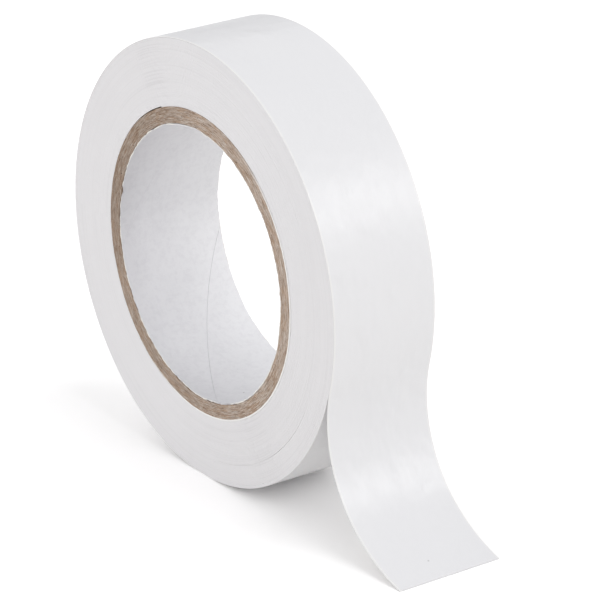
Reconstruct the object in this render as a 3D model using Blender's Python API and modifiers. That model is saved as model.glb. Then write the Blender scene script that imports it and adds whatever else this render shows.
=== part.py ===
"""Roll of electrical tape: a spirally wound board core, the tape wound on it, and the tape's free end.

The roll stands on its rim. Its axis lies along Y, +Z is up, and the free end comes down on the +X side.
The origin is the middle of the foot, where the outermost turn lies flat on the surface below it.
"""

import math

import bmesh
import bpy
from mathutils import Vector

# Core, in metres
BORE_DIAMETER = 0.0381
LINER_THICKNESS = 0.00015
PLY_COUNT = 5
PLY_THICKNESS = 0.0004
GLUE_LINE = 0.00004
CORE_PROUD = 0.00015

# Slanting butt seams of the core's strips
SEAM_LEAD = 0.0636
SEAM_GAP = 0.0003
LINER_SEAM_ANGLE = math.radians(-123.0)
SEAM_STAGGER = math.radians(137.5)

# Tape
ROLL_DIAMETER = 0.0618
TAPE_WIDTH = 0.016
TAPE_THICKNESS = 0.00015

# Free end: its bend, how steeply it meets the surface below, and how close it comes
TAIL_BEND_RADIUS = 0.0173
TAIL_TIP_SLOPE = math.radians(6.0)
TIP_CLEARANCE = 0.00063

# How the tape lies: the outermost turn is flattened where the roll stands
FOOT_DEPTH = 0.00015
PACK_ON_CORE = 0.0001
TURN_ON_PACK = 0.0001
TAIL_ON_TURN = 0.0001
TURN_START_GAP = 0.0006
PEEL_LINE_GAP = 0.0003

# Facets
CORE_STEPS = 96
TURN_STEPS = 144
SEAM_STEPS = 24
TAIL_STEPS = 30

# Sizes that follow from those above
BORE_RADIUS = BORE_DIAMETER / 2
PLY_PITCH = PLY_THICKNESS + GLUE_LINE
CORE_RADIUS = BORE_RADIUS + LINER_THICKNESS + PLY_COUNT * PLY_PITCH
CORE_LENGTH = TAPE_WIDTH + 2 * CORE_PROUD
ROLL_RADIUS = ROLL_DIAMETER / 2
TURN_PITCH = TAPE_THICKNESS + TAIL_ON_TURN
PEEL_RADIUS = ROLL_RADIUS - TAPE_THICKNESS / 2


def peel_angle_and_foot():
    """Angle below the roll's axis at which the tape leaves it, and the axis's height over the foot.

    The free end is one arc that bends away from the roll and comes down to the surface at its tip. The foot is
    measured from the spiral's own radius at the bottom, which the peel angle sets, so the two settle together.
    """
    angle = 0.0
    height = ROLL_RADIUS
    tip_drop = (TAIL_BEND_RADIUS + TAPE_THICKNESS / 2) * math.cos(TAIL_TIP_SLOPE)
    for _ in range(20):
        turned = (1.5 * math.pi + angle) / (2 * math.pi)
        height = ROLL_RADIUS - TURN_PITCH * turned - FOOT_DEPTH
        angle = math.asin((height - TIP_CLEARANCE - tip_drop) / (PEEL_RADIUS + TAIL_BEND_RADIUS))
    return angle, height


PEEL_ANGLE, AXIS_HEIGHT = peel_angle_and_foot()


def spiral_point(turned, depth):
    """Point at a depth under the outermost turn's surface, a part of a turn back from the peel line."""
    angle = 2 * math.pi * turned - PEEL_ANGLE
    radius = ROLL_RADIUS - TURN_PITCH * turned - depth
    down = -math.sin(angle)
    if down > 0:
        radius = min(radius, (AXIS_HEIGHT - depth) / down)
    return Vector((radius * math.cos(angle), radius * math.sin(angle), 0.0))


def turn_path(depth, first, last):
    """Points along the spiral between two parts of a turn, at the steps that all its pieces share."""
    inner_steps = [step / TURN_STEPS for step in range(TURN_STEPS + 1) if first < step / TURN_STEPS < last]
    return [spiral_point(turned, depth) for turned in [first, *inner_steps, last]]


def tail_path():
    """Points along the middle of the free end, from the peel line's gap to its tip, about the peel line."""
    heading_first = -PEEL_ANGLE - math.pi / 2 + PEEL_LINE_GAP / TAIL_BEND_RADIUS
    heading_last = -TAIL_TIP_SLOPE
    centre = TAIL_BEND_RADIUS * Vector((math.cos(PEEL_ANGLE), -math.sin(PEEL_ANGLE), 0.0))
    points = []
    for step in range(TAIL_STEPS + 1):
        heading = heading_first + (heading_last - heading_first) * step / TAIL_STEPS
        points.append(centre + TAIL_BEND_RADIUS * Vector((math.sin(heading), -math.cos(heading), 0.0)))
    return points


def circle_path(radius):
    """Points round a full circle."""
    angles = [2 * math.pi * step / CORE_STEPS for step in range(CORE_STEPS)]
    return [Vector((radius * math.cos(angle), radius * math.sin(angle), 0.0)) for angle in angles]


def finish(name, colour, roughness):
    """A Principled material of one colour."""
    material = bpy.data.materials.new(name)
    material.use_nodes = True
    shader = material.node_tree.nodes["Principled BSDF"]
    shader.inputs["Base Color"].default_value = (*colour, 1.0)
    shader.inputs["Roughness"].default_value = roughness
    shader.inputs["Metallic"].default_value = 0.0
    return material


def clear_scene():
    """Takes away whatever the file starts with."""
    for obj in list(bpy.data.objects):
        bpy.data.objects.remove(obj, do_unlink=True)


def new_collection(name):
    """An empty collection in the scene."""
    collection = bpy.data.collections.new(name)
    bpy.context.scene.collection.children.link(collection)
    return collection


def add_object(name, data, collection, parent, material=None):
    """Puts data into the scene as an object under its parent."""
    obj = bpy.data.objects.new(name, data)
    collection.objects.link(obj)
    obj.parent = parent
    if material:
        data.materials.append(material)
    return obj


def add_empty(name, collection, parent, location):
    """An axis that pieces are placed on."""
    empty = add_object(name, None, collection, parent)
    empty.location = location
    empty.empty_display_size = TAPE_WIDTH
    return empty


def outline_mesh(name, points, cyclic):
    """A mesh of one line of edges through the points."""
    shape = bmesh.new()
    verts = [shape.verts.new(point) for point in points]
    ends = verts[1:] + verts[:1] if cyclic else verts[1:]
    for start, end in zip(verts, ends):
        shape.edges.new((start, end))
    mesh = bpy.data.meshes.new(name)
    shape.to_mesh(mesh)
    shape.free()
    return mesh


def add_screw(obj, angle, rise, steps):
    """Turns the object's outline about its Z axis."""
    screw = obj.modifiers.new("turned", "SCREW")
    screw.axis = "Z"
    screw.angle = angle
    screw.screw_offset = rise
    screw.steps = steps
    screw.render_steps = steps
    screw.use_merge_vertices = True
    screw.merge_threshold = 0.00001
    screw.use_smooth_shade = True


def add_seam_blade(name, cutters, axis, inner, outer, angle):
    """A radial line screwed along the axis: it parts a rolled strip along its butt seam."""
    reach = CORE_PROUD + SEAM_GAP
    length = CORE_LENGTH + 2 * reach
    line = [Vector((inner - reach, 0.0, 0.0)), Vector((outer + reach, 0.0, 0.0))]
    blade = add_object(name, outline_mesh(name, line, cyclic=False), cutters, axis)
    twist = 2 * math.pi * length / SEAM_LEAD
    blade.location.z = -length / 2
    blade.rotation_euler.z = angle - twist / 2
    add_screw(blade, twist, length, SEAM_STEPS)
    wall = blade.modifiers.new("gap", "SOLIDIFY")
    wall.thickness = SEAM_GAP
    wall.offset = 0.0
    blade.hide_render = True
    blade.display_type = "WIRE"
    return blade


def add_rolled_strip(name, collection, cutters, axis, inner, thickness, seam_angle, material):
    """One strip of the core: a tube of its thickness, open along a slanting seam."""
    outer = inner + thickness
    half = CORE_LENGTH / 2
    corners = [(outer, half), (outer, -half), (inner, -half), (inner, half)]
    profile = [Vector((radius, 0.0, z)) for radius, z in corners]
    strip = add_object(name, outline_mesh(name, profile, cyclic=True), collection, axis, material)
    add_screw(strip, 2 * math.pi, 0.0, CORE_STEPS)
    seam = strip.modifiers.new("seam", "BOOLEAN")
    seam.operation = "DIFFERENCE"
    seam.object = add_seam_blade(f"{name}_seam", cutters, axis, inner, outer, seam_angle)
    return strip


def add_core(collection, cutters, axis):
    """The white liner and the board plies outside it, each seam turned on from the last."""
    paper = finish("liner_paper", (0.72, 0.72, 0.74), 0.8)
    add_rolled_strip(
        "core_liner", collection, cutters, axis, BORE_RADIUS, LINER_THICKNESS, LINER_SEAM_ANGLE, paper
    )
    inner = BORE_RADIUS + LINER_THICKNESS + GLUE_LINE
    for number in range(1, PLY_COUNT + 1):
        shade = 1.0 - 0.03 * (number % 3)
        board = finish(f"board_{number}", (0.42 * shade, 0.34 * shade, 0.27 * shade), 0.9)
        seam_angle = LINER_SEAM_ANGLE + number * SEAM_STAGGER
        add_rolled_strip(
            f"core_ply_{number}", collection, cutters, axis, inner, PLY_THICKNESS, seam_angle, board
        )
        inner += PLY_PITCH


def add_spline(curve, points, cyclic):
    """A polyline through the points."""
    spline = curve.splines.new("POLY")
    spline.points.add(len(points) - 1)
    for target, point in zip(spline.points, points):
        target.co = (*point, 1.0)
    spline.use_cyclic_u = cyclic


def flat_curve(name, fill):
    """A flat curve that stands as wide as the tape."""
    curve = bpy.data.curves.new(name, "CURVE")
    curve.dimensions = "2D"
    curve.fill_mode = fill
    curve.extrude = TAPE_WIDTH / 2
    return curve


def add_wound_pack(collection, axis, material):
    """The turns under the outermost one: a ring with a spiral's step in its rim, where the next turn starts."""
    curve = flat_curve("wound_pack", "BOTH")
    add_spline(curve, turn_path(TAPE_THICKNESS + TURN_ON_PACK, 0.0, 1.0), cyclic=True)
    add_spline(curve, circle_path(CORE_RADIUS + PACK_ON_CORE), cyclic=True)
    return add_object("wound_pack", curve, collection, axis, material)


def add_strip(name, points, collection, parent, material):
    """A length of tape along a path through its middle."""
    curve = flat_curve(name, "NONE")
    add_spline(curve, points, cyclic=False)
    strip = add_object(name, curve, collection, parent, material)
    wall = strip.modifiers.new("thickness", "SOLIDIFY")
    wall.thickness = TAPE_THICKNESS
    wall.offset = 0.0
    wall.use_even_offset = True
    return strip


def least_gap(path):
    """The least clear distance between the two ends' stretches of a path of tape."""
    stretch = len(path) // 4
    distances = [(first - last).length for first in path[:stretch] for last in path[-stretch:]]
    return min(distances) - TAPE_THICKNESS


def main():
    """Builds the roll."""
    clear_scene()
    parts = new_collection("roll_of_electrical_tape")
    cutters = new_collection("cutters")
    axis = add_empty("roll_axis", parts, None, (0.0, 0.0, AXIS_HEIGHT))
    axis.rotation_euler.x = math.pi / 2
    add_core(parts, cutters, axis)

    add_wound_pack(parts, axis, finish("tape_edges", (0.74, 0.73, 0.75), 0.45))
    last = 1.0 - TURN_START_GAP / (2 * math.pi * PEEL_RADIUS)
    path = turn_path(TAPE_THICKNESS / 2, 0.0, last)
    add_strip("outer_turn", path, parts, axis, finish("tape_turn", (0.81, 0.81, 0.82), 0.35))
    print(f"least gap of the outer turn to itself: {1000 * least_gap(path):.2f} mm")

    peel_line = PEEL_RADIUS * Vector((math.cos(PEEL_ANGLE), -math.sin(PEEL_ANGLE), 0.0))
    hinge = add_empty("peel_line", parts, axis, peel_line)
    add_strip("tape_tail", tail_path(), parts, hinge, finish("tape_free_end", (0.82, 0.82, 0.83), 0.35))


main()
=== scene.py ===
"""Looks of a roll of white electrical tape on a wound board core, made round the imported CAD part.

The roll stands on its rim with its axis along Y, and its near side faces -Y. The free end of the tape comes
down on the +X side. Every length is in metres, in the frame of the CAD part. Angles round the roll are
anticlockwise as seen from the near side, from +X.
"""

import logging
import math
import random
from collections.abc import Callable, Iterator, Mapping, Sequence
from contextlib import contextmanager
from dataclasses import dataclass, field
from enum import Enum

import bmesh
import bpy
from mathutils import Matrix, Vector


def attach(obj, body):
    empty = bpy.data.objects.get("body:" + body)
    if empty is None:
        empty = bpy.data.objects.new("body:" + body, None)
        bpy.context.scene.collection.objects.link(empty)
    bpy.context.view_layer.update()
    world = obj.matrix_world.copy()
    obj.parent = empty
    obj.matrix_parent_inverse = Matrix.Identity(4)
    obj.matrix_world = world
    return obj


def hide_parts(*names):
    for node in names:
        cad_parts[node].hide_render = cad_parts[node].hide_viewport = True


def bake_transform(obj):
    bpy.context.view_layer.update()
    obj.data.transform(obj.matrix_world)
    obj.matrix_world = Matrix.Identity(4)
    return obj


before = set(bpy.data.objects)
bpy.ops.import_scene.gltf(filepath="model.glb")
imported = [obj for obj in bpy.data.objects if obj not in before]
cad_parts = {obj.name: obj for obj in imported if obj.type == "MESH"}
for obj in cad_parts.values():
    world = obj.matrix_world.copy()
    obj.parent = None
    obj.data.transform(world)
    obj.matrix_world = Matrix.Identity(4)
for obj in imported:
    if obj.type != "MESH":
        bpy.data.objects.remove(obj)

LOG = logging.getLogger("tape_roll")

Colour = tuple[float, float, float]
Point = tuple[float, float, float]
FaceTest = Callable[[bmesh.types.BMFace], bool]
EdgeTest = Callable[[bmesh.types.BMEdge], bool]


class Body(Enum):
    """The CAD bodies that pieces ride on."""

    ROLL = "roll"
    TAIL = "tail"


class Slot(Enum):
    """The record's material slots."""

    TAPE = "tape"
    PAPER = "liner_paper"
    BOARD = "board"


class Part(Enum):
    """The parts of a mesh that a test can pick."""

    FACE = "faces"
    EDGE = "edges"


@dataclass(frozen=True)
class RollSizes:
    """Sizes that several pieces share, as the CAD part has them."""

    axis_height: float = 0.030552
    bore_radius: float = 0.01905
    core_radius: float = 0.0214
    core_half: float = 0.00815
    liner: float = 0.00015
    ply_pitch: float = 0.00044
    ply_count: int = 5
    seam_gap: float = 0.00008
    seam_twist: float = math.radians(92.26)
    liner_seam: float = math.radians(-123.0)
    seam_stagger: float = math.radians(137.5)
    roll_radius: float = 0.0309
    tape_width: float = 0.016
    tape: float = 0.00015
    peel_angle: float = math.radians(15.2299)
    tail_bend: float = 0.0173
    tip_slope: float = math.radians(6.0)

    @property
    def axis(self) -> Point:
        """The middle of the roll's axis."""
        return (0.0, 0.0, self.axis_height)

    def round_axis(self, radius: float, angle: float, y: float = 0.0) -> Point:
        """A point round the roll's axis.

        Args:
            radius: Distance from the axis.
            angle: Angle round the axis.
            y: Place along the axis.

        Returns:
            The point.
        """
        return (radius * math.cos(angle), y, self.axis_height + radius * math.sin(angle))


class Bench:
    """The operators that pieces are shaped with."""

    @staticmethod
    def clear_selection() -> None:
        """Deselects every object."""
        bpy.ops.object.select_all(action="DESELECT")

    @staticmethod
    def take(piece: bpy.types.Object) -> None:
        """Makes a piece the one that operators act on.

        Args:
            piece: The piece.
        """
        Bench.clear_selection()
        piece.select_set(True)
        bpy.context.view_layer.objects.active = piece

    @staticmethod
    def settle(piece: bpy.types.Object) -> None:
        """Puts a piece's place, turn and size into its mesh."""
        Bench.take(piece)
        bpy.ops.object.transform_apply(location=True, rotation=True, scale=True)

    @staticmethod
    def section(
        name: str, middle: Point, angle: float, depth: float, width: float, chamfer: float
    ) -> bpy.types.Object:
        """A flat cross-section with cut corners, which stands on a radius of the roll and reaches along Y.

        Args:
            name: Name of the piece that grows from it.
            middle: Its middle.
            angle: Direction of its depth, as an angle round the roll.
            depth: Its depth along that direction.
            width: Its width along Y.
            chamfer: How much its corners lose.

        Returns:
            The piece.
        """
        Bench.clear_selection()
        bpy.ops.mesh.primitive_plane_add(size=1.0, location=middle, rotation=(0.0, -angle, 0.0))
        piece = bpy.context.object
        piece.name = name
        piece.data.name = name
        piece.scale = (depth, width, 1.0)
        Bench.settle(piece)
        with Bench.editing(piece):
            bpy.ops.mesh.select_all(action="SELECT")
            bpy.ops.mesh.bevel(affect="VERTICES", offset=chamfer, segments=1)
        return piece

    @staticmethod
    @contextmanager
    def editing(piece: bpy.types.Object) -> Iterator[None]:
        """Edit mode on one piece, left again at the end.

        Args:
            piece: The piece.

        Yields:
            Nothing, once the piece is in edit mode.
        """
        Bench.take(piece)
        bpy.ops.object.mode_set(mode="EDIT")
        try:
            yield
        finally:
            bpy.ops.object.mode_set(mode="OBJECT")

    @staticmethod
    def select(piece: bpy.types.Object, part: Part, wanted: FaceTest | EdgeTest) -> None:
        """Selects, in edit mode, the faces or edges that a test picks.

        Args:
            piece: The piece in edit mode.
            part: Whether faces or edges are picked.
            wanted: The test.
        """
        bpy.ops.mesh.select_mode(type=part.name)
        bpy.ops.mesh.select_all(action="DESELECT")
        shape = bmesh.from_edit_mesh(piece.data)
        for one in getattr(shape, part.value):
            one.select_set(wanted(one))
        bmesh.update_edit_mesh(piece.data)

    @staticmethod
    def spin(centre: Point, angle: float, steps: int) -> None:
        """Carries the selected section on round a centre, anticlockwise as seen from the near side."""
        bpy.ops.mesh.spin(steps=steps, angle=angle, center=centre, axis=(0.0, 1.0, 0.0))

    @staticmethod
    def face_out(piece: bpy.types.Object, weld: float) -> None:
        """Merges a piece's doubles and turns its faces outwards.

        Args:
            piece: The piece.
            weld: Distance below which points are one.
        """
        with Bench.editing(piece):
            bpy.ops.mesh.select_mode(type="VERT")
            bpy.ops.mesh.select_all(action="SELECT")
            bpy.ops.mesh.remove_doubles(threshold=weld)
            bpy.ops.mesh.normals_make_consistent(inside=False)
            bpy.ops.mesh.select_all(action="DESELECT")

    @staticmethod
    def smooth(piece: bpy.types.Object, degrees: float) -> None:
        """Shades a piece smooth, apart from edges that are sharper than an angle."""
        Bench.take(piece)
        bpy.ops.object.shade_smooth_by_angle(angle=math.radians(degrees))

    @staticmethod
    def join(pieces: Sequence[bpy.types.Object], name: str) -> bpy.types.Object:
        """Joins pieces into the first of them.

        Args:
            pieces: What is joined.
            name: Name of the result.

        Returns:
            The joined piece.
        """
        Bench.take(pieces[0])
        for piece in pieces:
            piece.select_set(True)
        bpy.ops.object.join()
        pieces[0].name = name
        pieces[0].data.name = name
        return pieces[0]

    @staticmethod
    def move_points(piece: bpy.types.Object, move: Callable[[Vector], Vector]) -> None:
        """Moves each point of a piece to where a rule puts it.

        Args:
            piece: The piece.
            move: The rule, from an old place to a new one.
        """
        for vertex in piece.data.vertices:
            vertex.co = move(vertex.co)
        piece.data.update()

    @staticmethod
    def hand_over(piece: bpy.types.Object, slot: Slot, nodes: Sequence[str]) -> None:
        """Hides the CAD nodes that a piece stands for.

        Args:
            piece: The piece. Not used.
            slot: The record's slot. Not used.
            nodes: The CAD nodes.
        """
        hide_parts(*nodes)


class Sock:
    """A shader socket that can stand in sums, as a number does."""

    def __init__(self, board: "NodeBoard", socket: bpy.types.NodeSocket) -> None:
        """Keeps the socket and the board that it is on."""
        self.board = board
        self.socket = socket

    def _sum(self, operation: str, first: "Sock | float", second: "Sock | float") -> "Sock":
        """A Math node on two values."""
        return self.board.node("ShaderNodeMath", {"operation": operation}, {0: first, 1: second})

    def __add__(self, other: "Sock | float") -> "Sock":
        """This value and another."""
        return self._sum("ADD", self, other)

    __radd__ = __add__

    def __sub__(self, other: "Sock | float") -> "Sock":
        """This value less another."""
        return self._sum("SUBTRACT", self, other)

    def __rsub__(self, other: float) -> "Sock":
        """A number less this value."""
        return self._sum("SUBTRACT", other, self)

    def __mul__(self, other: "Sock | float") -> "Sock":
        """This value times another."""
        return self._sum("MULTIPLY", self, other)

    __rmul__ = __mul__

    def maximum(self, other: "Sock | float") -> "Sock":
        """The greater of this value and another."""
        return self._sum("MAXIMUM", self, other)

    def one(self, operation: str) -> "Sock":
        """A Math node on this value alone."""
        return self.board.node("ShaderNodeMath", {"operation": operation}, {0: self})

    def ramp(self, low: float, high: float) -> "Sock":
        """0 at one value, 1 at another, eased between them."""
        inputs = {"Value": self, "From Min": low, "From Max": high}
        return self.board.node("ShaderNodeMapRange", {"interpolation_type": "SMOOTHSTEP"}, inputs)


@dataclass
class NodeBoard:
    """A node tree that a finish is written on."""

    tree: bpy.types.NodeTree

    def node(
        self,
        kind: str,
        settings: Mapping[str, object] | None = None,
        inputs: Mapping[str | int, object] | None = None,
        output: str | int = 0,
    ) -> Sock:
        """Adds a node.

        Args:
            kind: The node's type.
            settings: Its own settings, which are set first.
            inputs: Values or links of its sockets.
            output: The socket that is handed back.

        Returns:
            That output socket.
        """
        made = self.tree.nodes.new(kind)
        for key, value in (settings or {}).items():
            setattr(made, key, value)
        for key, value in (inputs or {}).items():
            if isinstance(value, Sock):
                self.tree.links.new(value.socket, made.inputs[key])
            else:
                made.inputs[key].default_value = value
        return Sock(self, made.outputs[output])

    @property
    def shader(self) -> bpy.types.Node:
        """The Principled shader of a material's board."""
        return self.tree.nodes["Principled BSDF"]

    def feed(self, **sockets: Sock) -> None:
        """Links values to the shader's sockets, by their names with _ for a space."""
        for name, value in sockets.items():
            self.tree.links.new(value.socket, self.shader.inputs[name.replace("_", " ")])

    def place(self) -> Sock:
        """Object coordinates."""
        return self.node("ShaderNodeTexCoord", output="Object")

    def part(self, vector: Sock, axis: str) -> Sock:
        """One number of a vector."""
        return self.node("ShaderNodeSeparateXYZ", inputs={0: vector}, output=axis)

    def vector(self, x: Sock | float, y: Sock | float, z: Sock | float) -> Sock:
        """A vector of three numbers."""
        return self.node("ShaderNodeCombineXYZ", inputs={0: x, 1: y, 2: z})

    def stretched(self, vector: Sock, scale: Point) -> Sock:
        """A vector with each of its numbers scaled."""
        return self.node("ShaderNodeVectorMath", {"operation": "MULTIPLY"}, {0: vector, 1: scale})

    def noise(self, vector: Sock, scale: float = 1.0, detail: float = 2.0, rough: float = 0.5) -> Sock:
        """Soft noise from 0 to 1.

        Args:
            vector: Where it is read.
            scale: How fine it is.
            detail: How many finer layers it has.
            rough: How strong those are.

        Returns:
            The value.
        """
        inputs = {"Vector": vector, "Scale": scale, "Detail": detail, "Roughness": rough}
        return self.node("ShaderNodeTexNoise", inputs=inputs)

    def mix(self, share: Sock | float, first: Sock | Colour, second: Sock | Colour, way: str = "MIX") -> Sock:
        """A colour made of two.

        Args:
            share: 0 for the first and 1 for the second.
            first: A colour.
            second: A colour.
            way: How the second comes in, as the Mix node names it.

        Returns:
            The colour.
        """
        ends = [end if isinstance(end, Sock) else (*end, 1.0) for end in (first, second)]
        settings = {"data_type": "RGBA", "blend_type": way}
        return self.node("ShaderNodeMix", settings, {0: share, 6: ends[0], 7: ends[1]}, 2)

    def background_rays(self) -> Sock:
        """Which rays see the background plainly.

        Returns:
            1 for the rays of the picture, of gloss and through clear things, and 0 for others.
        """
        kinds = ("Camera", "Glossy", "Transmission")
        rays = [self.node("ShaderNodeLightPath", output=f"Is {kind} Ray") for kind in kinds]
        return rays[0].maximum(rays[1]).maximum(rays[2])

    def bump(self, height: Sock, depth: float) -> Sock:
        """A normal from a height from 0 to 1, where 1 is so deep."""
        return self.node("ShaderNodeBump", inputs={"Strength": 1.0, "Distance": depth, "Height": height})


@dataclass(frozen=True)
class Finish:
    """What every finish has: a name, and a Principled shader with its own constant sockets."""

    name: str
    specular: float = 0.5

    def make(self) -> bpy.types.Material:
        """Writes the finish into a new material, which never counts as a lamp.

        Returns:
            The material.
        """
        material = bpy.data.materials.new(self.name)
        material.use_nodes = True
        material.cycles.emission_sampling = "NONE"
        board = NodeBoard(material.node_tree)
        board.shader.inputs["Specular IOR Level"].default_value = self.specular
        self.write(board)
        return material

    def write(self, board: NodeBoard) -> None:
        """Writes the finish's own nodes. Each kind of finish does this in its own way."""
        raise NotImplementedError

    @staticmethod
    def polar(board: NodeBoard, sizes: RollSizes) -> tuple[Sock, Sock, Sock]:
        """Distance from the roll's axis, angle round it and place along it.

        Args:
            board: The finish's board.
            sizes: The roll's sizes.

        Returns:
            Radius, angle and Y.
        """
        place = board.place()
        across = board.part(place, "X")
        up = board.part(place, "Z") - sizes.axis_height
        radius = (across * across + up * up).one("SQRT")
        angle = board.node("ShaderNodeMath", {"operation": "ARCTAN2"}, {0: up, 1: across})
        return radius, angle, board.part(place, "Y")

    @staticmethod
    def towards(angle: Sock, direction: float) -> Sock:
        """How near an angle is to a direction: 1 at it and -1 opposite."""
        return (angle - direction).one("COSINE")


@dataclass(frozen=True)
class TapeFace(Finish):
    """The outer face of the tape: soft white plastic with a satin gloss and dents, and a painted glow along
    its edges.
    """

    name: str = "white_tape_face"
    specular: float = 0.58
    white: Colour = (0.792, 0.79, 0.808)
    shade: Colour = (0.757, 0.758, 0.78)
    gloss: float = 0.31
    speck: Colour = (0.36, 0.35, 0.36)
    # Painted glow: the paler colour along the tape's edges, and how far in from each edge it reaches, stand
    # in for light coming through the plastic.
    rim: Colour = (0.87, 0.862, 0.845)
    glow_from: float = 0.0076
    glow_to: float = 0.00795
    streak_scale: Point = (170.0, 800.0, 170.0)
    line_scale: Point = (40.0, 3200.0, 40.0)
    dent_scale: Point = (350.0, 540.0, 350.0)
    depth: float = 0.0001

    def write(self, board: NodeBoard) -> None:
        """Writes faint marks along the tape, dents that break up its gloss, scuffs, specks and a painted glow
        along its edges.

        Args:
            board: The finish's board.
        """
        place = board.place()
        # Painted glow: 1 close to the tape's edges and 0 elsewhere.
        rim = board.part(place, "Y").one("ABSOLUTE").ramp(self.glow_from, self.glow_to)
        streaks = board.noise(board.stretched(place, self.streak_scale))
        lines = board.noise(board.stretched(place, self.line_scale))
        dents = board.noise(board.stretched(place, self.dent_scale), detail=1.0)
        shiny = dents.ramp(0.3, 0.72)
        waves = board.noise(place, 95.0, 1.0)
        patches = board.noise(place, 160.0, 1.0).ramp(0.42, 0.62)
        grain = board.noise(place, 4200.0)
        scuffs = board.noise(place, 900.0, 4.0, 0.65).ramp(0.56, 0.72)
        specks = board.noise(place, 1400.0, 0.0).ramp(0.9, 0.91)
        colour = board.mix(waves * 0.5 + lines * 0.3, self.white, self.shade)
        # Painted glow: the tape's edges made paler, as if lit through the plastic.
        colour = board.mix(rim * (scuffs * 0.3 + 0.5), colour, self.rim)
        height = waves + streaks * (patches * 0.3 + 0.06) + dents * (patches * 0.9 + 0.8)
        board.feed(
            Base_Color=board.mix(specks * 0.5, colour, self.speck),
            Roughness=waves * 0.05 + lines * 0.04 + scuffs * 0.06 - shiny * 0.06 + self.gloss,
            Normal=board.bump(height + lines * 0.03 + grain * 0.02, self.depth),
        )


@dataclass(frozen=True)
class TapeBack(Finish):
    """The sticky side of the tape: a smeared coat of glue, glossier than the face and a little greyer."""

    name: str = "sticky_tape_back"
    white: Colour = (0.762, 0.757, 0.762)
    smeared: Colour = (0.725, 0.718, 0.716)
    gloss: float = 0.15
    smear_scale: Point = (200.0, 1100.0, 200.0)
    depth: float = 0.00003

    def write(self, board: NodeBoard) -> None:
        """Writes smears along the tape and small pits.

        Args:
            board: The finish's board.
        """
        place = board.place()
        smears = board.noise(board.stretched(place, self.smear_scale), detail=3.0)
        pits = board.noise(place, 2200.0)
        board.feed(
            Base_Color=board.mix(smears.ramp(0.35, 0.7) * 0.6 + pits * 0.3, self.white, self.smeared),
            Roughness=pits * 0.1 + self.gloss,
            Normal=board.bump(smears * 0.7 + pits * 0.3, self.depth),
        )


@dataclass(frozen=True)
class TapeEdge(Finish):
    """The cut edges of the wound tape, with fine lines from turn to turn, painted stronger in two stretches
    as a painted sheen.
    """

    name: str = "white_tape_edge"
    specular: float = 0.4
    white: Colour = (0.788, 0.78, 0.799)
    grey: Colour = (0.683, 0.674, 0.692)
    speck: Colour = (0.42, 0.40, 0.40)
    # Painted sheen: the angles round the roll where the lines are painted stronger, for the glint of the
    # turns' edges, and how wide those stretches are.
    sheen_angles: tuple[float, float] = (math.radians(112.0), math.radians(-57.0))
    sheen_from: float = 0.991
    sheen_to: float = 0.9992
    across: float = 40.0
    depth: float = 0.000012
    sizes: RollSizes = field(default_factory=RollSizes)

    def stretch(self, angle: Sock, middle: float) -> Sock:
        """1 in a short stretch round the roll, where the lines are painted stronger as a painted sheen of the
        turns' edges, and 0 elsewhere.
        """
        return self.towards(angle, middle).ramp(self.sheen_from, self.sheen_to)

    def write(self, board: NodeBoard) -> None:
        """Writes the lines from turn to turn, a painted sheen in two stretches, spots and specks.

        Args:
            board: The finish's board.
        """
        radius, angle, y = self.polar(board, self.sizes)
        turned = radius + angle * (self.sizes.tape / (2.0 * math.pi))
        y = y * self.across
        fine = board.noise(board.vector(turned * 6500.0, angle * 0.8, y), detail=1.0)
        broad = board.noise(board.vector(turned * 900.0, angle * 0.5, y), detail=3.0)
        ridged = board.noise(board.vector(turned * 4800.0, angle * 1.5, y), detail=1.0)
        place = board.place()
        spots = board.noise(place, 1400.0)
        specks = board.noise(place, 1500.0, 0.0).ramp(0.905, 0.915)
        # Painted sheen: stronger lines in two stretches round the roll, where the turns' edges glint.
        stretches = self.stretch(angle, self.sheen_angles[0]) + self.stretch(angle, self.sheen_angles[1])
        lines = fine.ramp(0.5, 0.8) * 0.6 + broad.ramp(0.5, 0.78) * 0.3
        lines = lines + stretches * ridged.ramp(0.46, 0.68) * 0.75
        colour = board.mix(lines * 0.55 + spots * 0.12, self.white, self.grey)
        board.feed(
            Base_Color=board.mix(specks * 0.6, colour, self.speck),
            Roughness=0.52 - fine * 0.12,
            Normal=board.bump(fine * 0.6 + spots * 0.2, self.depth),
        )


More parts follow.
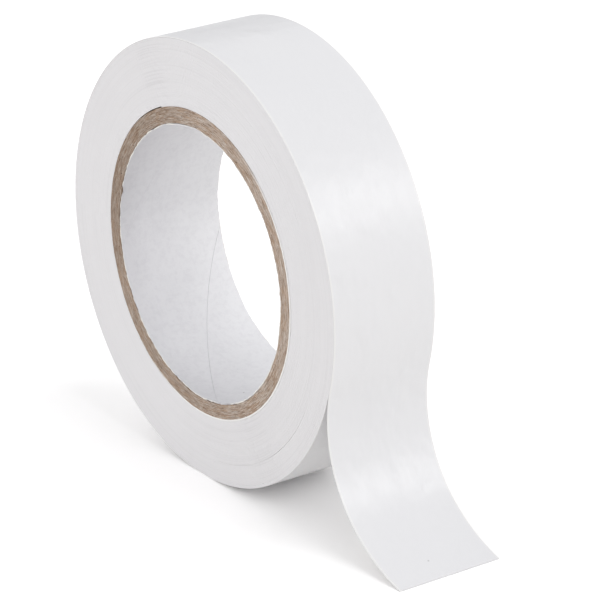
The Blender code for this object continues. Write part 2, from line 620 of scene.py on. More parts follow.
@dataclass(frozen=True)
class BoardFinish(Finish):
    """Brown board of pressed fibres, whose cut end shows fibres and layers that lie round the core."""

    name: str = "brown_board"
    specular: float = 0.15
    tan: Colour = (0.545, 0.448, 0.382)
    dark: Colour = (0.17, 0.105, 0.065)
    pale: Colour = (0.69, 0.635, 0.585)
    rust: Colour = (0.46, 0.28, 0.16)
    # Painted shade: the brown that the ring is multiplied with towards its lower left side and its upper left
    # corner.
    painted_shade_brown: Colour = (0.58, 0.54, 0.50)
    black: Colour = (0.06, 0.045, 0.035)
    # Painted highlight: the cream of the core's proud outer wall where light catches it.
    lit_wall_cream: Colour = (0.88, 0.875, 0.87)
    # Painted shade: the angles round the ring where it is darkest, as less light falls there.
    shade_side_angle: float = math.radians(210.0)
    shade_corner_angle: float = math.radians(145.0)
    # Painted highlight: the side round the ring where it shows, and its reach in from the outer edge.
    lit_wall_side: float = math.radians(-35.0)
    lit_wall_from: float = 0.00026
    lit_wall_to: float = 0.0002
    depth: float = 0.00007
    shift: float = 0.0
    sizes: RollSizes = field(default_factory=RollSizes)

    def write(self, board: NodeBoard) -> None:
        """Writes layers, fibres, flecks and specks, painted shade on one side and one corner of the ring, and
        a painted highlight along its outer edge towards the lower right.

        Args:
            board: The finish's board.
        """
        radius, angle, y = self.polar(board, self.sizes)
        shift = self.shift
        layers = board.noise(board.vector(radius * 4600.0 + shift, angle * 3.5, y * 300.0), rough=0.6)
        around = board.vector(radius * 14000.0, angle * 12.0 + shift, y * 4200.0)
        fibres = board.noise(around, detail=3.0, rough=0.7)
        around = board.vector(radius * 12500.0, angle * 17.0 - shift, y * 3500.0)
        flecks = board.noise(around, detail=3.0, rough=0.65)
        patches = board.noise(board.vector(radius * 900.0, angle * 9.0 + shift, y * 200.0), detail=3.0)
        specks = board.noise(board.vector(radius * 2600.0, angle * 44.0, y * 2000.0 + shift), detail=1.0)
        # Painted shade: 1 towards the lower left side and the upper left corner of the ring, where less light
        # falls.
        side = self.towards(angle, self.shade_side_angle) * 0.5 + 0.5
        corner_shade = self.towards(angle, self.shade_corner_angle).ramp(0.5, 1.0)
        colour = board.mix(patches.ramp(0.4, 0.66) * 0.4, self.tan, self.rust)
        colour = board.mix(fibres.ramp(0.44, 0.62) * 0.8, colour, self.dark)
        colour = board.mix(flecks.ramp(0.5, 0.66) * 0.8, colour, self.pale)
        colour = board.mix(layers.ramp(0.5, 0.72) * 0.34, colour, self.dark)
        colour = board.mix(specks.ramp(0.735, 0.79) * 0.8, colour, self.black)
        # Painted shade multiplied into the board's colour.
        colour = board.mix(side * 0.43 + corner_shade * 0.37, colour, self.painted_shade_brown, "MULTIPLY")
        # Painted highlight: a cream band along the outer edge of the board, only towards the lower right,
        # where light catches the core's proud wall.
        outside = self.sizes.core_radius
        lit_wall = radius.ramp(outside - self.lit_wall_from, outside - self.lit_wall_to)
        lit_wall = lit_wall * self.towards(angle, self.lit_wall_side).ramp(-0.2, 0.4)
        board.feed(
            Base_Color=board.mix(lit_wall, colour, self.lit_wall_cream),
            Roughness=fibres * 0.12 + 0.82,
            Normal=board.bump(layers * 0.2 + fibres * 0.6 + flecks * 0.5, self.depth),
        )


@dataclass(frozen=True)
class PaperFinish(Finish):
    """Greyish white recycled paper with a fine grain and soft clouds, paler where its edge is torn."""

    name: str = "white_liner_paper"
    specular: float = 0.2
    white: Colour = (0.867, 0.867, 0.888)
    # The first grey below is the clouds' grey and also painted shade towards the near rim; the second is
    # painted shade, multiplied in where less light reaches the bore.
    cloud_and_shade: Colour = (0.692, 0.683, 0.717)
    painted_shade_grey: Colour = (0.80, 0.80, 0.805)
    torn: Colour = (0.86, 0.84, 0.80)
    lapped: Colour = (0.62, 0.62, 0.66)
    speck: Colour = (0.36, 0.33, 0.33)
    lap_angle: float = math.radians(144.8)
    lap_width: float = 0.014
    # Painted shade: angles round the bore where it is darkest, and where the darker band at the near rim
    # begins.
    bore_shade_corner: float = math.radians(150.0)
    shade_top_angle: float = math.radians(147.0)
    shade_foot_angle: float = math.radians(-70.0)
    rim_shade_from: float = -0.0035
    torn_width: float = 0.00012
    depth: float = 0.00005
    sizes: RollSizes = field(default_factory=RollSizes)

    def lap(self, angle: Sock, y: Sock) -> Sock:
        """Where the paper's second seam shows, which is lapped and slants as the open one does.

        Args:
            angle: Angle round the core.
            y: Place along it.

        Returns:
            1 on the seam and 0 away from it.
        """
        slant = y * (-self.sizes.seam_twist / (2.0 * self.sizes.core_half))
        off = angle - slant - self.lap_angle
        off = off + (off + math.pi).one("SIGN") * -math.pi + math.pi
        return 1.0 - off.one("ABSOLUTE").ramp(0.0, self.lap_width)

    def write(self, board: NodeBoard) -> None:
        """Writes pulp, clouds, the lapped seam and the torn edge, and painted shade: darker towards the near
        rim and one corner, and dimmer at the top left and bottom right of the bore, where less light falls.

        Args:
            board: The finish's board.
        """
        radius, angle, y = self.polar(board, self.sizes)
        half = self.sizes.core_half
        unrolled = board.vector(angle * self.sizes.bore_radius, y, radius)
        clouds = board.noise(unrolled, 210.0)
        pulp = board.noise(unrolled, 1500.0, 3.0, 0.6)
        fibres = board.noise(unrolled, 4200.0, 3.0, 0.6)
        specks = board.noise(unrolled, 900.0, 0.0).ramp(0.86, 0.875)
        lap = self.lap(angle, y)
        edge = (y.one("ABSOLUTE") + pulp * self.torn_width).ramp(half - self.torn_width, half)
        # Painted shade: darker towards the near rim, most round one corner, where less light reaches into the
        # bore.
        corner_shade = self.towards(angle, self.bore_shade_corner).ramp(-0.2, 1.0)
        painted_bore_shade = (y + (clouds - 0.5) * 0.008).ramp(half, -half) * (corner_shade * 0.6 + 0.7)
        colour = board.mix(painted_bore_shade * 0.45 + pulp.ramp(0.4, 0.7) * 0.22, self.white, self.cloud_and_shade)
        # Painted shade: dimmer at the top left and bottom right of the bore and along its near rim.
        top = self.towards(angle, self.shade_top_angle).ramp(0.65, 1.0)
        foot = self.towards(angle, self.shade_foot_angle).ramp(0.5, 1.0)
        rim = (y + (clouds - 0.5) * 0.003).ramp(self.rim_shade_from, -half)
        colour = board.mix(rim * 0.35 + top * 0.6 + foot * 0.4, colour, self.painted_shade_grey, "MULTIPLY")
        colour = board.mix(lap * 0.25, colour, self.lapped)
        colour = board.mix(specks * 0.6, colour, self.speck)
        board.feed(
            Base_Color=board.mix(edge, colour, self.torn),
            Roughness=fibres * 0.12 + 0.82,
            Normal=board.bump(pulp * 0.35 + fibres * 0.25 + lap * 0.5 + clouds * 0.4, self.depth),
        )


@dataclass(frozen=True)
class FloorFinish(Finish):
    """A white floor that keeps the shadow. Plain views of it are overexposed a little, so it goes white."""

    name: str = "white_floor"
    specular: float = 0.0
    white: Colour = (0.972, 0.967, 0.970)
    more: Colour = (0.231, 0.23, 0.231)
    none: Colour = (0.0, 0.0, 0.0)
    bounce: Colour = (1.0, 0.985, 0.96)
    plain: Colour = (1.0, 1.0, 1.0)
    plain_from: float = 0.25
    plain_to: float = 0.6

    def write(self, board: NodeBoard) -> None:
        """Writes the floor, which turns to the plain white of the surround away from the roll.

        Args:
            board: The finish's board.
        """
        board.shader.inputs["Roughness"].default_value = 1.0
        seen = board.background_rays()
        board.feed(Base_Color=board.mix(seen, self.bounce, self.white))
        more = board.mix(seen, self.none, self.more)
        more = board.node("ShaderNodeBsdfDiffuse", inputs={"Color": more})
        both = board.node("ShaderNodeAddShader", inputs={0: Sock(board, board.shader.outputs[0]), 1: more})
        away = board.node("ShaderNodeVectorMath", {"operation": "LENGTH"}, {0: board.place()}, "Value")
        plain = board.node("ShaderNodeEmission", inputs={"Color": (*self.plain, 1.0)})
        share = away.ramp(self.plain_from, self.plain_to) * seen
        whole = board.node("ShaderNodeMixShader", inputs={0: share, 1: both, 2: plain})
        board.tree.links.new(whole.socket, board.tree.nodes["Material Output"].inputs["Surface"])


@dataclass(frozen=True)
class CardFinish(Finish):
    """Matt grey card."""

    name: str = "grey_card"
    pale: Colour = (0.51, 0.51, 0.52)
    dark: Colour = (0.47, 0.47, 0.48)
    scale: float = 30.0

    def write(self, board: NodeBoard) -> None:
        """Writes soft clouds on a matt grey.

        Args:
            board: The finish's board.
        """
        board.shader.inputs["Roughness"].default_value = 1.0
        clouds = board.noise(board.place(), self.scale)
        board.feed(Base_Color=board.mix(clouds, self.pale, self.dark))


@dataclass(frozen=True)
class TapePath:
    """The middle line of the tape from its cut tip to its start on the core.

    It is one arc, many half turns and part of one more. The half turns have their middles on the line
    through the roll's axis and the peel line, and each runs on into the next, so that the tape winds inwards.
    """

    sizes: RollSizes
    pitch: float = 0.0001525
    slack: float = 0.00006
    half_turns: int = 122
    last_part: float = math.radians(127.0)

    def out(self, distance: float) -> Point:
        """A point on the line through the axis and the peel line."""
        return self.sizes.round_axis(distance, -self.sizes.peel_angle)

    def crossing(self, number: int) -> float:
        """Where the tape crosses that line after so many half turns.

        Args:
            number: Half turns from the peel line.

        Returns:
            Distance from the axis, below 0 on the far side of it.
        """
        radius = self.sizes.roll_radius - self.sizes.tape / 2.0 - self.pitch * number / 2.0
        if number % 2 == 0:
            return radius
        return 2.0 * self.slack * (1.0 - number / self.half_turns) - radius

    def half_centre(self, number: int) -> Point:
        """The middle of a half turn."""
        return self.out((self.crossing(number) + self.crossing(number + 1)) / 2.0)

    def tail_centre(self) -> Point:
        """The middle of the free end's bend."""
        return self.out(self.crossing(0) + self.sizes.tail_bend)

    def tip_angle(self) -> float:
        """Direction of the cut tip from the middle of the free end's bend."""
        return -math.pi / 2.0 - self.sizes.tip_slope

    def tail_sweep(self) -> float:
        """Angle that the free end bends through, from its tip to the peel line."""
        return math.pi - self.sizes.peel_angle - (self.tip_angle() + 2.0 * math.pi)


@dataclass(frozen=True)
class TapeDress:
    """The tape's finishes, and how its faces get them."""

    face: bpy.types.Material
    edge: bpy.types.Material
    back: bpy.types.Material

    def put_on(self, piece: bpy.types.Object, least: float) -> None:
        """Puts one finish on a strip's faces and another on its cut edges.

        Args:
            piece: The strip.
            least: How far a face turns along the axis, from 0 to 1, before it counts as an edge.
        """
        piece.data.materials.clear()
        piece.data.materials.append(self.face)
        self.add(piece, self.edge, lambda one: abs(one.normal.y) > least)

    @staticmethod
    def add(piece: bpy.types.Object, finish: bpy.types.Material, wanted: FaceTest) -> None:
        """Puts one more finish on some faces of a piece.

        Args:
            piece: The piece.
            finish: The finish.
            wanted: A test that picks the faces.
        """
        piece.data.materials.append(finish)
        with Bench.editing(piece):
            Bench.select(piece, Part.FACE, wanted)
            piece.active_material_index = len(piece.data.materials) - 1
            bpy.ops.object.material_slot_assign()


@dataclass
class FreeEnd:
    """The free end of the tape, and the half turn over the roll that it peels from, as one strip."""

    sizes: RollSizes
    path: TapePath
    chamfer: float = 0.00005
    tail_steps: int = 64
    turn_steps: int = 120
    peel_start: float = -0.0005
    peel_end: float = 0.0075
    tip_drop: float = 0.0006
    tip_reach: float = 0.009
    edge_turn: float = 0.8
    weld: float = 0.000002
    crease: float = 40.0

    @property
    def peel(self) -> Vector:
        """The middle of the peel line."""
        return Vector(self.path.out(self.path.crossing(0)))

    @property
    def down(self) -> Vector:
        """The way that the tape leaves the roll."""
        return Vector((-math.sin(self.sizes.peel_angle), 0.0, -math.cos(self.sizes.peel_angle)))

    def build(self, dress: TapeDress) -> bpy.types.Object:
        """Spins the strip from its cut tip up to the peel line and on over the roll.

        Args:
            dress: The tape's finishes.

        Returns:
            The strip.
        """
        sizes = self.sizes
        centre = Vector(self.path.tail_centre())
        angle = self.path.tip_angle()
        middle = centre + sizes.tail_bend * Vector((math.cos(angle), 0.0, math.sin(angle)))
        strip = Bench.section("tape_free_end", middle, angle, sizes.tape, sizes.tape_width, self.chamfer)
        with Bench.editing(strip):
            bpy.ops.mesh.select_all(action="SELECT")
            Bench.spin(tuple(centre), self.path.tail_sweep(), self.tail_steps)
            Bench.spin(self.path.half_centre(0), math.pi, self.turn_steps)
        Bench.face_out(strip, self.weld)
        tip = middle.x
        Bench.move_points(strip, lambda place: self.drop_tip(place, tip))
        dress.put_on(strip, self.edge_turn)
        dress.add(strip, dress.back, self.is_sticky)
        Bench.smooth(strip, self.crease)
        return strip

    def is_sticky(self, one: bmesh.types.BMFace) -> bool:
        """Whether a face is on the tape's sticky side.

        Args:
            one: A face of the strip.

        Returns:
            True if it faces the roll or, on the free end, away from the middle of its bend.
        """
        place = one.calc_center_median()
        if place.x > 0.0 and (place - self.peel).dot(self.down) > 0.0:
            inwards = place - Vector(self.path.tail_centre())
        else:
            inwards = Vector(self.path.half_centre(0)) - place
        inwards.y = 0.0
        return one.normal.dot(inwards.normalized()) > 1.0 - self.edge_turn

    def drop_tip(self, place: Vector, tip: float) -> Vector:
        """Lets the cut tip sag towards the table.

        Args:
            place: A point as spun.
            tip: X of the cut.

        Returns:
            The point as it lies.
        """
        share = max(0.0, 1.0 - (tip - place.x) / self.tip_reach)
        return Vector((place.x, place.y, place.z - self.tip_drop * share * share))

    def fasten(self, strip: bpy.types.Object) -> None:
        """Puts the strip's place into its mesh and hides the free end's CAD node; the ends of the bend and
        the strip's length are worked out but not used.

        Args:
            strip: The strip.
        """
        start = self.peel + self.peel_start * self.down
        end = self.peel + self.peel_end * self.down
        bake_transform(strip)
        length = self.sizes.tail_bend * abs(self.path.tail_sweep()) + math.pi * self.path.crossing(0)
        Bench.hand_over(strip, Slot.TAPE, ["tape_tail"])


@dataclass
class WoundTape:
    """The rest of the tape, wound turn on turn from the far side of the roll down to the core."""

    sizes: RollSizes
    path: TapePath
    thickness: float = 0.000147
    chamfer: float = 0.000028
    steps: int = 48
    outer_steps: int = 96
    outer_halves: int = 6
    wander: float = 0.0000045
    slip_steps: int = 3
    sunk_from: float = 43.65
    sunk_to: float = 43.93
    sunk_ease: float = 0.12
    sunk: float = 0.00008
    press_reach: float = 0.0013
    pressed: float = 0.6
    open_from: float = math.radians(235.0)
    open_to: float = math.radians(300.0)
    foot_reach: float = 0.006
    edge_turn: float = 0.3
    cap_reach: float = 0.0001
    angle_margin: float = 1.0
    weld: float = 0.000003
    crease: float = 40.0
    seed: int = 11

    def slips(self) -> list[float]:
        """How far the tape has slipped along the axis, a few times in each half turn.

        Returns:
            The slips, from the peel line inwards.
        """
        chance = random.Random(self.seed)
        count = (self.path.half_turns + 2) * self.slip_steps + 2
        slips = [chance.gauss(0.0, self.wander) for _ in range(count)]
        still = 2 * self.slip_steps
        return [0.0] * still + slips[still:]

    def slip(self, turned: float, slips: Sequence[float]) -> float:
        """How far the tape has slipped along the axis at one place.

        Args:
            turned: Half turns from the peel line.
            slips: The slips along the tape.

        Returns:
            The slip, with the one stretch where the tape has sunk in from the near side.
        """
        place = turned * self.slip_steps
        first = int(place)
        share = place - first
        share *= share * (3.0 - 2.0 * share)
        inside = min(turned - self.sunk_from, self.sunk_to - turned) / self.sunk_ease + 0.5
        inside = min(max(inside, 0.0), 1.0)
        return slips[first] * (1.0 - share) + slips[first + 1] * share + self.sunk * inside

    def half_turn(self, number: int, slips: Sequence[float]) -> bpy.types.Object:
        """One half turn, which slips a little along the axis on its way.

        Args:
            number: Which half turn.
            slips: The slips along the tape.

        Returns:
            The half turn, open at both ends unless the tape ends there.
        """
        sizes = self.sizes
        middle = self.path.out(self.path.crossing(number))
        section = Bench.section(
            "half_turn", middle, -sizes.peel_angle, self.thickness, sizes.tape_width, self.chamfer
        )
        sweep = self.path.last_part if number == self.path.half_turns else math.pi
        steps = self.outer_steps if number < self.outer_halves else round(self.steps * sweep / math.pi)
        centre = Vector(self.path.half_centre(number))
        with Bench.editing(section):
            bpy.ops.mesh.select_all(action="SELECT")
            Bench.spin(tuple(centre), sweep, steps)
            Bench.select(section, Part.FACE, lambda one: self.is_inner_cap(one, number))
            bpy.ops.mesh.delete(type="ONLY_FACE")
        start = math.pi * (number % 2) - sizes.peel_angle

        def slipped(place: Vector) -> Vector:
            """A point of the half turn after its slip."""
            around = math.atan2(place.z - centre.z, place.x - centre.x) - start + self.angle_margin
            around = around % (2.0 * math.pi) - self.angle_margin
            return place + Vector((0.0, self.slip(number + around / math.pi, slips), 0.0))

        Bench.move_points(section, slipped)
        return section

    def is_inner_cap(self, one: bmesh.types.BMFace, number: int) -> bool:
        """Whether a face closes a half turn where the tape runs on.

        Args:
            one: A face of the half turn. Its caps are the ones with more than four corners.
            number: Which half turn.

        Returns:
            True for both caps, apart from those at the two ends of the wound tape.
        """
        if len(one.verts) <= 4:
            return False
        off = one.calc_center_median() - Vector(self.path.out(self.path.crossing(number)))
        at_start = off.x**2 + off.z**2 < self.cap_reach**2
        return number > 1 if at_start else number < self.path.half_turns

    def press_on_core(self, place: Vector) -> Vector:
        """Presses the innermost turns against the core, apart from a stretch past the tape's own start.

        Args:
            place: A point as wound.

        Returns:
            The point as it lies.
        """
        up = place.z - self.sizes.axis_height
        radius = math.hypot(place.x, up)
        end = self.path.last_part - self.sizes.peel_angle
        behind = (end - math.atan2(up, place.x)) % (2.0 * math.pi)
        gap = self.path.pitch * behind / (2.0 * math.pi)
        near = 1.0 - (radius - self.sizes.core_radius - gap) / self.press_reach
        if near <= 0.0:
            return place
        closed = (self.open_to - behind) / (self.open_to - self.open_from)
        scale = 1.0 - self.pressed * gap * min(max(closed, 0.0), 1.0) * min(near, 1.0) / radius
        return Vector((place.x * scale, place.y, self.sizes.axis_height + up * scale))

    def settle_foot(self, place: Vector, lowest: float) -> Vector:
        """Presses the lowest turns together where the roll stands.

        Args:
            place: A point as wound.
            lowest: Height of the lowest point as wound.

        Returns:
            The point as it lies.
        """
        if place.z >= self.foot_reach:
            return place
        share = (self.foot_reach - place.z) / (self.foot_reach - lowest)
        return Vector((place.x, place.y, place.z - lowest * share * share))

    def build(self, dress: TapeDress) -> bpy.types.Object:
        """Winds the tape.

        Args:
            dress: The tape's finishes.

        Returns:
            The wound tape.
        """
        slips = self.slips()
        turns = [self.half_turn(number, slips) for number in range(1, self.path.half_turns + 1)]
        wound = Bench.join(turns, "wound_tape")
        Bench.face_out(wound, self.weld)
        Bench.move_points(wound, self.press_on_core)
        lowest = min(vertex.co.z for vertex in wound.data.vertices)
        Bench.move_points(wound, lambda place: self.settle_foot(place, lowest))
        dress.put_on(wound, self.edge_turn)
        Bench.smooth(wound, self.crease)
        return wound

    def fasten(self, wound: bpy.types.Object) -> None:
        """Makes the wound tape ride on the roll."""
        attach(wound, Body.ROLL.value)
        Bench.hand_over(wound, Slot.TAPE, ["wound_pack", "outer_turn"])


@dataclass(frozen=True)
class Tear:
    """A place where a strip's rim is torn."""

    angle: float
    reach: float
    depth: float
    bluntness: float = 0.7

    def at(self, angle: float) -> float:
        """How deep the tear is at an angle round the core."""
        away = abs(math.remainder(angle - self.angle, 2.0 * math.pi)) / self.reach
        return self.depth * max(0.0, 1.0 - away) ** self.bluntness


@dataclass
class RoughRim:
    """How a cut rim strays round the core: a fine roughness on longer waves, with a few tears."""

    seed: int
    points: int
    fine: float
    waves: float
    wave_points: int = 7
    tears: Sequence[Tear] = ()

    def __post_init__(self) -> None:
        """Draws the rim once, so that every point of the strip meets the same one."""
        chance = random.Random(self.seed)
        self.rough = [chance.random() ** 2 * self.fine for _ in range(self.points)]
        self.long = [chance.random() ** 3 * self.waves for _ in range(self.points // self.wave_points)]

    @staticmethod
    def between(values: Sequence[float], angle: float) -> float:
        """A value at an angle, from values that stand evenly round the core.

        Args:
            values: The values.
            angle: The angle.

        Returns:
            The value between the two that are nearest.
        """
        place = angle / (2.0 * math.pi) * len(values)
        first = math.floor(place)
        share = place - first
        return values[first % len(values)] * (1.0 - share) + values[(first + 1) % len(values)] * share

    def at(self, angle: float) -> float:
        """How far the rim strays at an angle round the core."""
        torn = max((tear.at(angle) for tear in self.tears), default=0.0)
        return self.between(self.rough, angle) + max(self.between(self.long, angle), torn)


@dataclass
class RolledStrip:
    """One strip of the core: rolled up on a slant, so that its two long edges meet in a slanting seam."""

    name: str
    node: str
    sizes: RollSizes
    inner: float
    thickness: float
    half: float
    seam: float
    slot: Slot
    finish: Finish
    chamfer: float
    rows: int
    layers: int
    steps: int
    back: Mapping[float, RoughRim]
    curl: Mapping[float, RoughRim]
    grain: float
    curl_reach: float = 0.0006
    closing: float = 0.0
    closing_reach: float = 0.4
    weld: float = 0.000002
    crease: float = 35.0

    def build(self) -> bpy.types.Object:
        """Spins the strip round to its seam, twists the seam and roughens its cut rims.

        Returns:
            The strip.
        """
        radius = self.inner + self.thickness / 2.0
        gap = self.sizes.seam_gap / radius
        start = self.seam + gap / 2.0
        middle = self.sizes.round_axis(radius, start)
        strip = Bench.section(self.name, middle, start, self.thickness, 2.0 * self.half, self.chamfer)
        with Bench.editing(strip):
            Bench.select(strip, Part.EDGE, lambda edge: edge.calc_length() > self.half)
            bpy.ops.mesh.subdivide(number_cuts=self.rows - 1)
            if self.layers > 1:
                Bench.select(strip, Part.EDGE, self.at_rim)
                bpy.ops.mesh.subdivide(number_cuts=self.layers - 1)
            bpy.ops.mesh.select_all(action="SELECT")
            Bench.spin(self.sizes.axis, 2.0 * math.pi - gap, self.steps)
        Bench.face_out(strip, self.weld)
        Bench.move_points(strip, lambda place: self.close_seam(place, gap))
        self.twist(strip)
        self.roughen(strip)
        strip.data.materials.clear()
        strip.data.materials.append(self.finish.make())
        Bench.smooth(strip, self.crease)
        return strip

    def close_seam(self, place: Vector, gap: float) -> Vector:
        """Closes the seam towards the near rim.

        Args:
            place: A point as spun.
            gap: Angle that the open seam takes up.

        Returns:
            The point as it lies.
        """
        up = place.z - self.sizes.axis_height
        angle = math.atan2(up, place.x)
        off = math.remainder(angle - self.seam, 2.0 * math.pi)
        near = max(0.0, 1.0 - abs(off) / self.closing_reach) * (0.5 - 0.5 * place.y / self.half)
        angle -= math.copysign(self.closing * near * gap / 2.0, off)
        return Vector(self.sizes.round_axis(math.hypot(place.x, up), angle, place.y))

    def at_rim(self, edge: bmesh.types.BMEdge) -> bool:
        """Whether an edge of the section lies along one of its rims."""
        return all(abs(abs(vertex.co.y) - self.half) < 0.1 * self.chamfer for vertex in edge.verts)

    def twist(self, strip: bpy.types.Object) -> None:
        """Twists the strip about the roll's axis.

        Args:
            strip: The strip as spun.
        """
        bpy.context.scene.cursor.location = self.sizes.axis
        Bench.take(strip)
        bpy.ops.object.origin_set(type="ORIGIN_CURSOR")
        slant = strip.modifiers.new("slant", "SIMPLE_DEFORM")
        slant.deform_method = "TWIST"
        slant.deform_axis = "Y"
        slant.angle = self.sizes.seam_twist * self.half / self.sizes.core_half
        bpy.ops.object.modifier_apply(modifier=slant.name)
        Bench.settle(strip)

    def roughen(self, strip: bpy.types.Object) -> None:
        """Roughens the strip's rims: they lose a little, lean into the bore and are torn in places."""
        chance = random.Random(strip.name)
        Bench.move_points(strip, lambda place: self.worn(place, chance))

    def worn(self, place: Vector, chance: random.Random) -> Vector:
        """A point of the strip after the cut and years of wear.

        Args:
            place: The point as rolled.
            chance: Where the grain of the rim is drawn from.

        Returns:
            The point as it is now.
        """
        near = abs(place.y) - self.half + self.curl_reach
        if near <= 0.0:
            return place
        share = (near / self.curl_reach) ** 2
        side = math.copysign(1.0, place.y)
        angle = math.atan2(place.z - self.sizes.axis_height, place.x)
        back = self.back[side].at(angle) + chance.random() * self.grain
        curl = self.curl[side].at(angle)
        return place - share * Vector((curl * math.cos(angle), side * back, curl * math.sin(angle)))

    def fasten(self, strip: bpy.types.Object) -> None:
        """Makes the strip ride on the roll."""
        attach(strip, Body.ROLL.value)
        Bench.hand_over(strip, self.slot, [self.node])


@dataclass
class Core:
    """The core that the tape is wound on: a white paper liner and five plies of brown board."""

    sizes: RollSizes
    board_half: float = 0.00812
    liner_half: float = 0.00815
    ply_clearance: float = 0.000004
    paper_points: int = 400
    board_points: int = 300
    board_shift: float = 3.7
    near: float = -1.0
    far: float = 1.0
    far_turn: float = 2.0
    far_depth: float = 0.7
    tears: Sequence[Tear] = (
        Tear(math.radians(165.0), 0.045, 0.0003),
        Tear(math.radians(-71.0), 0.05, 0.00032),
        Tear(math.radians(-77.0), 0.03, 0.00015),
        Tear(math.radians(38.0), 0.03, 0.00018),
        Tear(math.radians(-146.0), 0.04, 0.00015),
    )

    def liner(self) -> RolledStrip:
        """The paper liner, with ragged rims.

        Returns:
            The strip.
        """
        sizes = self.sizes
        points = self.paper_points
        far_tears = [
            Tear(tear.angle + self.far_turn, tear.reach, self.far_depth * tear.depth) for tear in self.tears
        ]
        return RolledStrip(
            name="core_liner_paper",
            node="core_liner",
            sizes=sizes,
            inner=sizes.bore_radius,
            thickness=sizes.liner,
            half=self.liner_half,
            seam=sizes.liner_seam,
            slot=Slot.PAPER,
            finish=PaperFinish(),
            chamfer=0.00003,
            rows=30,
            layers=1,
            steps=points,
            back={
                self.near: RoughRim(5, points, fine=0.00017, waves=0.00016, tears=self.tears),
                self.far: RoughRim(6, points, fine=0.00010, waves=0.00010, tears=far_tears),
            },
            curl={
                self.near: RoughRim(7, points, fine=0.00010, waves=0.00012),
                self.far: RoughRim(8, points, fine=0.00006, waves=0.00006),
            },
            grain=0.00002,
            closing=0.4,
        )

    def ply(self, number: int) -> RolledStrip:
        """One ply of board.

        Args:
            number: Which, from 1 next to the liner.

        Returns:
            The strip.
        """
        sizes = self.sizes
        points = self.board_points
        first = sizes.bore_radius + sizes.liner + self.ply_clearance
        seeds = {side: 20 + 2 * number + round(side) for side in (self.near, self.far)}
        return RolledStrip(
            name=f"core_board_{number}",
            node=f"core_ply_{number}",
            sizes=sizes,
            inner=first + (number - 1) * sizes.ply_pitch,
            thickness=sizes.ply_pitch - self.ply_clearance,
            half=self.board_half,
            seam=sizes.liner_seam + number * sizes.seam_stagger,
            slot=Slot.BOARD,
            finish=BoardFinish(name=f"brown_board_{number}", shift=self.board_shift * number),
            chamfer=0.000012,
            rows=16,
            layers=4,
            steps=points,
            back={side: RoughRim(seed, points, fine=0.00003, waves=0.00004) for side, seed in seeds.items()},
            curl={side: RoughRim(seed, points, fine=0.0, waves=0.0) for side, seed in seeds.items()},
            grain=0.00004,
        )

    def strips(self) -> list[RolledStrip]:
        """The core's strips, from the bore outwards.

        Returns:
            The liner, then the plies.
        """
        return [self.liner(), *(self.ply(number) for number in range(1, self.sizes.ply_count + 1))]


@dataclass(frozen=True)
class Lamp:
    """A square soft lamp."""

    name: str
    place: Point
    size: float
    power: float

    def hang(self, aim: Point) -> None:
        """Hangs the lamp.

        Args:
            aim: What it faces.
        """
        lamp = bpy.data.lights.new(self.name, "AREA")
        lamp.shape = "SQUARE"
        lamp.size = self.size
        lamp.energy = self.power
        holder = bpy.data.objects.new(self.name, lamp)
        bpy.context.scene.collection.objects.link(holder)
        holder.location = self.place
        holder.rotation_euler = (Vector(aim) - Vector(self.place)).to_track_quat("-Z", "Y").to_euler()


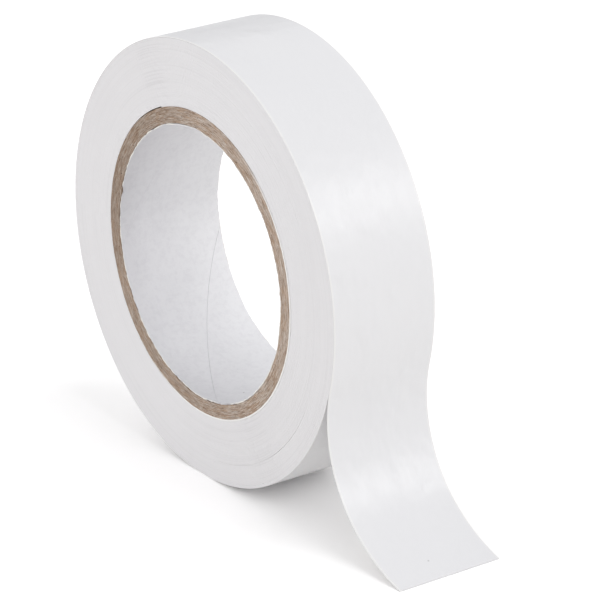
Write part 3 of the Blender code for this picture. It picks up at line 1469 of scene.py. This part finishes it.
@dataclass
class Studio:
    """Floor, card, lamps, world and camera.

    Three lamps are soft ones: one on each side and one over the roll. The tape's gloss shows the fourth.
    """

    sizes: RollSizes
    azimuth: float = 55.905
    elevation: float = 21.194
    lean: float = -1.0838
    distance: float = 0.49357
    lens: float = 221.23
    sensor: float = 36.0
    clip: tuple[float, float] = (0.01, 20.0)
    aim_right: float = 0.00697
    aim_up: float = -0.00648
    floor_size: float = 6.0
    card_size: Point = (0.9, 0.4, 1.0)
    card_place: Point = (-0.67, 0.44, 0.2)
    card_turn: Point = (math.radians(90.0), 0.0, math.radians(57.0))
    lamp_aim: Point = (0.0, 0.0, 0.03)
    lamps: Sequence[Lamp] = (
        Lamp("right_lamp", (1.0, 0.6, 0.5), size=1.4, power=1.6),
        Lamp("left_lamp", (-0.5, -0.9, 0.5), size=1.4, power=4.7),
        Lamp("top_lamp", (0.28, 0.09, 1.03), size=0.38, power=1.7),
        Lamp("gloss_lamp", (0.75, 0.6, 0.555), size=0.4, power=1.55),
    )
    ambient: float = 0.66

    @staticmethod
    def plane(name: str, size: float, finish: Finish) -> bpy.types.Object:
        """Lays a square plane at the origin.

        Args:
            name: Its name.
            size: Its side.
            finish: Its finish.

        Returns:
            The plane.
        """
        Bench.clear_selection()
        bpy.ops.mesh.primitive_plane_add(size=size, location=(0.0, 0.0, 0.0))
        plane = bpy.context.object
        plane.name = name
        plane.data.materials.append(finish.make())
        return plane

    def floor(self) -> None:
        """Lays the floor."""
        self.plane("floor", self.floor_size, FloorFinish())

    def card(self) -> None:
        """Stands a grey card behind the roll, out of the picture, which only the gloss on the roll shows."""
        card = self.plane("card", 1.0, CardFinish())
        card.scale = self.card_size
        card.location = self.card_place
        card.rotation_euler = self.card_turn
        Bench.settle(card)
        card.visible_camera = False
        card.visible_diffuse = False
        card.visible_transmission = False
        card.visible_shadow = False

    def world(self) -> None:
        """A plain white surround: full white to the camera and in reflections, dimmer as a light."""
        world = bpy.data.worlds.new("white_surround")
        bpy.context.scene.world = world
        world.use_nodes = True
        board = NodeBoard(world.node_tree)
        seen = board.background_rays()
        background = world.node_tree.nodes["Background"]
        background.inputs["Color"].default_value = (1.0, 1.0, 1.0, 1.0)
        strength = seen * (1.0 - self.ambient) + self.ambient
        board.tree.links.new(strength.socket, background.inputs["Strength"])

    def camera(self) -> None:
        """Sets the camera where the photograph was taken from."""
        around, over, lean = (math.radians(angle) for angle in (self.azimuth, self.elevation, self.lean))
        back = Vector((math.sin(around) * math.cos(over), -math.cos(around) * math.cos(over), math.sin(over)))
        right = Vector((math.cos(around), math.sin(around), 0.0))
        up = back.cross(right)
        right, up = (
            math.cos(lean) * right + math.sin(lean) * up,
            math.cos(lean) * up - math.sin(lean) * right,
        )
        middle = Vector(self.sizes.axis)
        eye = middle + self.distance * back
        back = (eye - (middle + self.aim_right * right + self.aim_up * up)).normalized()
        right = up.cross(back).normalized()
        up = back.cross(right)
        lens = bpy.data.cameras.new("camera")
        lens.lens = self.lens
        lens.sensor_width = self.sensor
        lens.clip_start, lens.clip_end = self.clip
        camera = bpy.data.objects.new("camera", lens)
        bpy.context.scene.collection.objects.link(camera)
        turned = Matrix((right, up, back)).transposed()
        camera.matrix_world = Matrix.Translation(eye) @ turned.to_4x4()
        bpy.context.scene.camera = camera

    def build(self) -> None:
        """Sets everything up round the roll."""
        bpy.context.scene.view_settings.view_transform = "Standard"
        self.floor()
        self.card()
        for lamp in self.lamps:
            lamp.hang(self.lamp_aim)
        self.world()
        self.camera()


def report(piece: bpy.types.Object) -> None:
    """Says what a piece is and how many faces it has."""
    LOG.info("%s: %d faces", piece.name, len(piece.data.polygons))


def main() -> None:
    """Builds the roll's pieces, then what stands round it."""
    logging.basicConfig(level=logging.INFO, format="%(message)s")
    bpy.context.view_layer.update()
    sizes = RollSizes()
    path = TapePath(sizes)
    dress = TapeDress(TapeFace().make(), TapeEdge().make(), TapeBack().make())

    free_end = FreeEnd(sizes, path)
    strip = free_end.build(dress)
    free_end.fasten(strip)
    report(strip)

    wound_tape = WoundTape(sizes, path)
    wound = wound_tape.build(dress)
    wound_tape.fasten(wound)
    report(wound)

    for rolled in Core(sizes).strips():
        piece = rolled.build()
        rolled.fasten(piece)
        report(piece)

    Studio(sizes).build()


if __name__ == "__main__":
    main()
